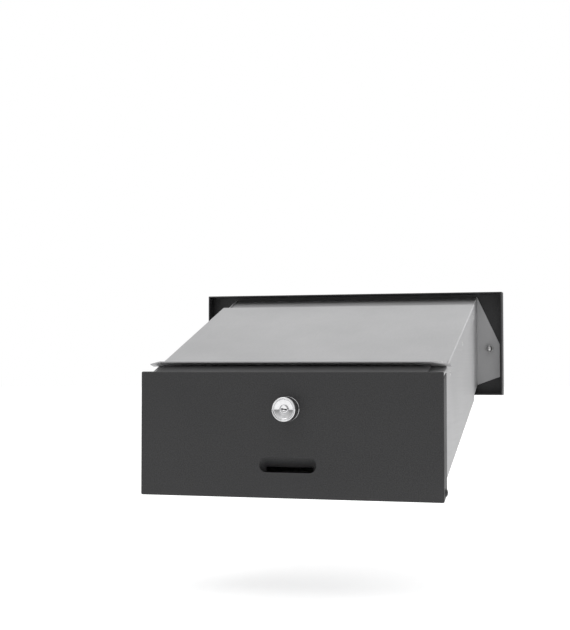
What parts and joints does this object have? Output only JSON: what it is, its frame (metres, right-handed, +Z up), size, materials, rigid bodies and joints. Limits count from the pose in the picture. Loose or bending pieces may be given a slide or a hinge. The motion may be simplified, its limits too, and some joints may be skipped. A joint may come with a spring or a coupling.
{
  "type": "through-wall drop box",
  "caption": "Through-wall steel letter drop: front plate with sprung insert flap, sloping telescopic sheet-steel chute and a bottom-hinged rear emptying door with cam lock.",
  "frame": {"origin": "centre of the wall opening, in the plane where the rear edge of the front plate's rim meets the wall", "axes": "+Z up, +X along the plate's width, -Y to the street, +Y into the wall towards the emptying door"},
  "size_m": [0.36, 0.3177, 0.2165],
  "materials": {
    "powder_coat": "fine-structure powder coat, satin",
    "zinc_sheet": "smooth zinc-coated sheet, matt",
    "stainless": "fine brushed along the width",
    "fastener_steel": "bright zinc plating",
    "spring_steel": "drawn wire",
    "chrome": "polished"
  },
  "bodies": {
    "front": {"front_plate": "powder_coat", "cup_washers": "chrome", "plate_screws": "chrome", "plate_nuts": "fastener_steel", "sleeve_shell": "zinc_sheet", "sleeve_roof": "zinc_sheet", "flap_brackets": "zinc_sheet", "flap_pin": "fastener_steel", "pin_clips": "spring_steel"},
    "flap": {"insert_flap": "stainless", "flap_springs": "spring_steel"},
    "rear_body": {"rear_shell": "zinc_sheet", "rear_top_panel": "zinc_sheet", "top_panel_rivets": "fastener_steel", "door_canopy": "zinc_sheet", "canopy_rivets": "fastener_steel", "lock_catch": "zinc_sheet", "catch_rivets": "fastener_steel", "hinge_ears": "zinc_sheet"},
    "door": {"door_panel": "powder_coat", "hinge_pins": "powder_coat", "lock_body": "chrome", "lock_washer": "spring_steel", "lock_nut": "fastener_steel"},
    "lock": {"lock_plug": "chrome", "lock_cam": "fastener_steel", "cam_screw": "fastener_steel"}
  },
  "joints": [
    {"name": "flap_hinge", "type": "hinge", "parent": "front", "child": "flap", "pos_m": [0, -0.014, 0.0142], "axis": [1, 0, 0], "range_deg": [0, 75], "stiffness_Nm_per_rad": 0.06, "springref_deg": -28.65},
    {"name": "depth_slide", "type": "slide", "parent": "front", "child": "rear_body", "axis": [0, 0.9483, -0.3173], "range_m": [-0.025, 0.08]},
    {"name": "door_hinge", "type": "hinge", "parent": "rear_body", "child": "door", "pos_m": [0, 0.271, -0.14748], "axis": [-1, 0, 0], "range_deg": [0, 95]},
    {"name": "lock_turn", "type": "hinge", "parent": "door", "child": "lock", "pos_m": [0, 0.281, -0.06882], "axis": [0, -1, 0], "range_deg": [0, 90]}
  ]
}
